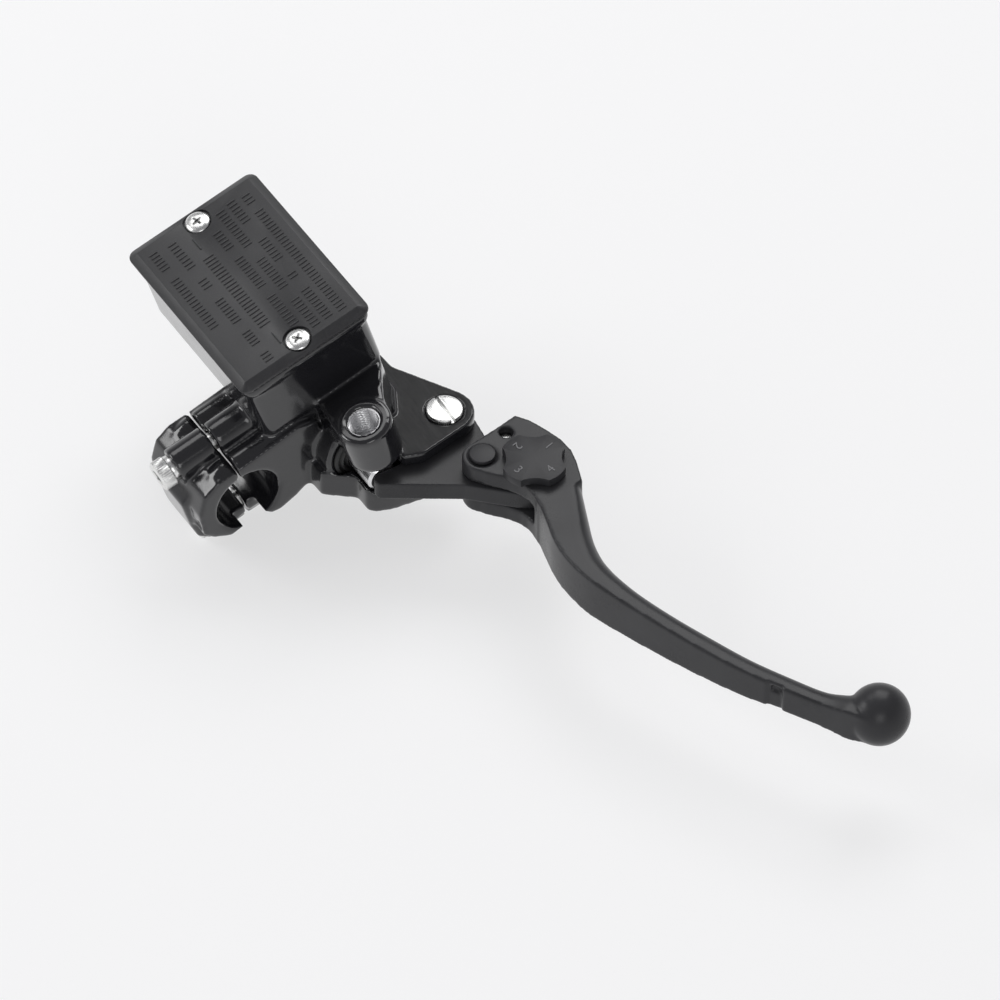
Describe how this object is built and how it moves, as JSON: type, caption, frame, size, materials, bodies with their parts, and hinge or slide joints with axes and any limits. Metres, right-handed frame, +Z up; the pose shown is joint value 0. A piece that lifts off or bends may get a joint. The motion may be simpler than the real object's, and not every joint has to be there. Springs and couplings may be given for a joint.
{
  "type": "motorcycle brake master cylinder",
  "caption": "Front brake master cylinder with a built-in fluid reservoir, handlebar clamp, mirror boss and a lever whose reach is set by a dial.",
  "frame": {"origin": "centre of the handlebar clamp bore, on the bar axis midway across the clamp", "axes": "+X along the handlebar towards the lever tip, +Y forwards away from the rider, +Z up along the lever pivot"},
  "size_m": [0.2624, 0.1446, 0.0831],
  "materials": {
    "casting_paint": "gloss black paint on die-cast aluminium",
    "cap_plastic": "satin black moulded plastic",
    "anodised_lever": "satin black anodised aluminium",
    "anodised_dial": "satin black anodised aluminium, turned face",
    "zinc_steel": "bright zinc-plated steel",
    "spring_steel": "oiled spring steel",
    "bare_aluminium": "bare machined aluminium",
    "black_rubber": "EPDM rubber",
    "inner_plastic": "natural nylon",
    "switch_plastic": "black moulded plastic",
    "terminal_brass": "tinned brass"
  },
  "bodies": {
    "housing": {"cylinder_body": "casting_paint", "reservoir_bowl": "casting_paint", "clamp_cap": "casting_paint", "clamp_bolts": "zinc_steel", "reservoir_cap": "cap_plastic", "diaphragm_plate": "inner_plastic", "diaphragm": "black_rubber", "cap_screws": "zinc_steel", "port_baffle": "zinc_steel", "return_spring": "spring_steel", "stop_washer": "zinc_steel", "circlip": "spring_steel", "dust_boot": "black_rubber", "pivot_bolt": "zinc_steel", "pivot_nut": "zinc_steel", "brake_switch": "switch_plastic", "switch_terminals": "terminal_brass", "switch_screw": "zinc_steel"},
    "piston_set": {"piston": "bare_aluminium", "primary_cup": "black_rubber", "secondary_cup": "black_rubber"},
    "knocker_arm": {"knocker": "anodised_lever"},
    "lever": {"lever_blade": "anodised_lever", "lever_pin": "anodised_lever", "lever_pin_clip": "spring_steel", "stop_pin": "zinc_steel", "detent_ball": "spring_steel", "detent_spring": "spring_steel"},
    "dial": {"adjuster_dial": "anodised_dial", "dial_clip": "spring_steel"},
    "plunger": {"switch_plunger": "inner_plastic"}
  },
  "joints": [
    {"name": "lever_squeeze", "type": "hinge", "parent": "housing", "child": "knocker_arm", "pos_m": [0.0286, 0.0628, 0.008], "axis": [0, 0, -1], "range_deg": [0, 17], "stiffness_Nm_per_rad": 1.5, "springref_deg": -5.73},
    {"name": "reach_adjust", "type": "hinge", "parent": "knocker_arm", "child": "lever", "pos_m": [0.0516, 0.062, 0.008], "axis": [0, 0, 1], "range_deg": [0, 4.34]},
    {"name": "dial_turn", "type": "hinge", "parent": "lever", "child": "dial", "pos_m": [0.0634, 0.0732, 0.008], "axis": [0, 0, 1], "range_deg": [0, 225]},
    {"name": "piston_slide", "type": "slide", "parent": "housing", "child": "piston_set", "axis": [-1, 0, 0], "range_m": [0, 0.00885], "deforming": ["return_spring"]},
    {"name": "plunger_slide", "type": "slide", "parent": "housing", "child": "plunger", "axis": [-1, 0, 0], "range_m": [0, 0.0014]}
  ],
  "couplings": [
    {"joint": "piston_slide", "follows": "lever_squeeze", "m_per_rad": 0.0298},
    {"joint": "plunger_slide", "follows": "lever_squeeze", "m_per_rad": 0.0047},
    {"joint": "reach_adjust", "follows": "dial_turn", "ratio": 0.019289}
  ]
}
